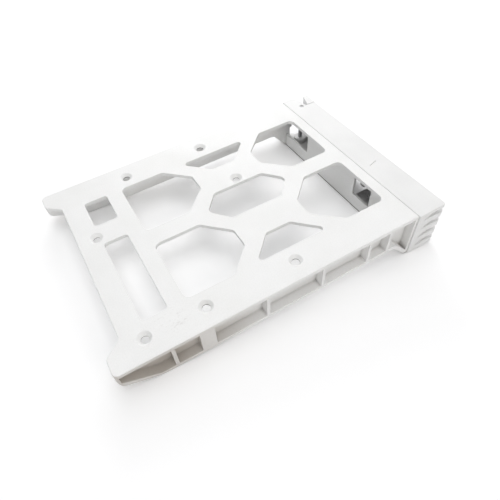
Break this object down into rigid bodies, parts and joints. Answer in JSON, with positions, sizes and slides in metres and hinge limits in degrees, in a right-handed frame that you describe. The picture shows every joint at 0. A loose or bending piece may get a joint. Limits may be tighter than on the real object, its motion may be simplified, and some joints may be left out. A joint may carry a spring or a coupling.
{
  "type": "hot swap drive caddy",
  "caption": "Latticed plastic drive tray with ribbed side rails, countersunk drive holes and a louvred front bezel whose pull lever swings out on a steel pin.",
  "frame": {"origin": "centre of the four 3.5 inch drive screw holes, on the plate's outer face", "axes": "+Y along the tray to the connector end, +Z out of the plate's outer face, away from the drive, +X towards the lever's hinge"},
  "size_m": [0.1164, 0.1681, 0.027],
  "materials": {
    "tray_plastic": "satin moulded white ABS",
    "bezel_plastic": "satin moulded white ABS, a shade greyer",
    "lever_plastic": "satin moulded white ABS, a shade greyer",
    "pin_steel": "ground steel",
    "button_plastic": "satin moulded light grey ABS",
    "spring_steel": "drawn spring wire",
    "screw_steel": "zinc-plated steel"
  },
  "bodies": {
    "tray": {"tray_frame": "tray_plastic", "front_bezel": "bezel_plastic", "hinge_pin": "pin_steel", "bezel_screws": "screw_steel", "button_spring": "spring_steel"},
    "lever": {"pull_lever": "lever_plastic"},
    "button": {"release_button": "button_plastic"}
  },
  "joints": [
    {"name": "lever_swing", "type": "hinge", "parent": "tray", "child": "lever", "pos_m": [0.0482, -0.09233, -0.0135], "axis": [0, 0, 1], "range_deg": [0, 38]},
    {"name": "button_slide", "type": "slide", "parent": "tray", "child": "button", "axis": [-1, 0, 0], "range_m": [0, 0.0025], "stiffness_N_per_m": 400, "springref_m": -0.001, "deforming": ["button_spring"]}
  ]
}
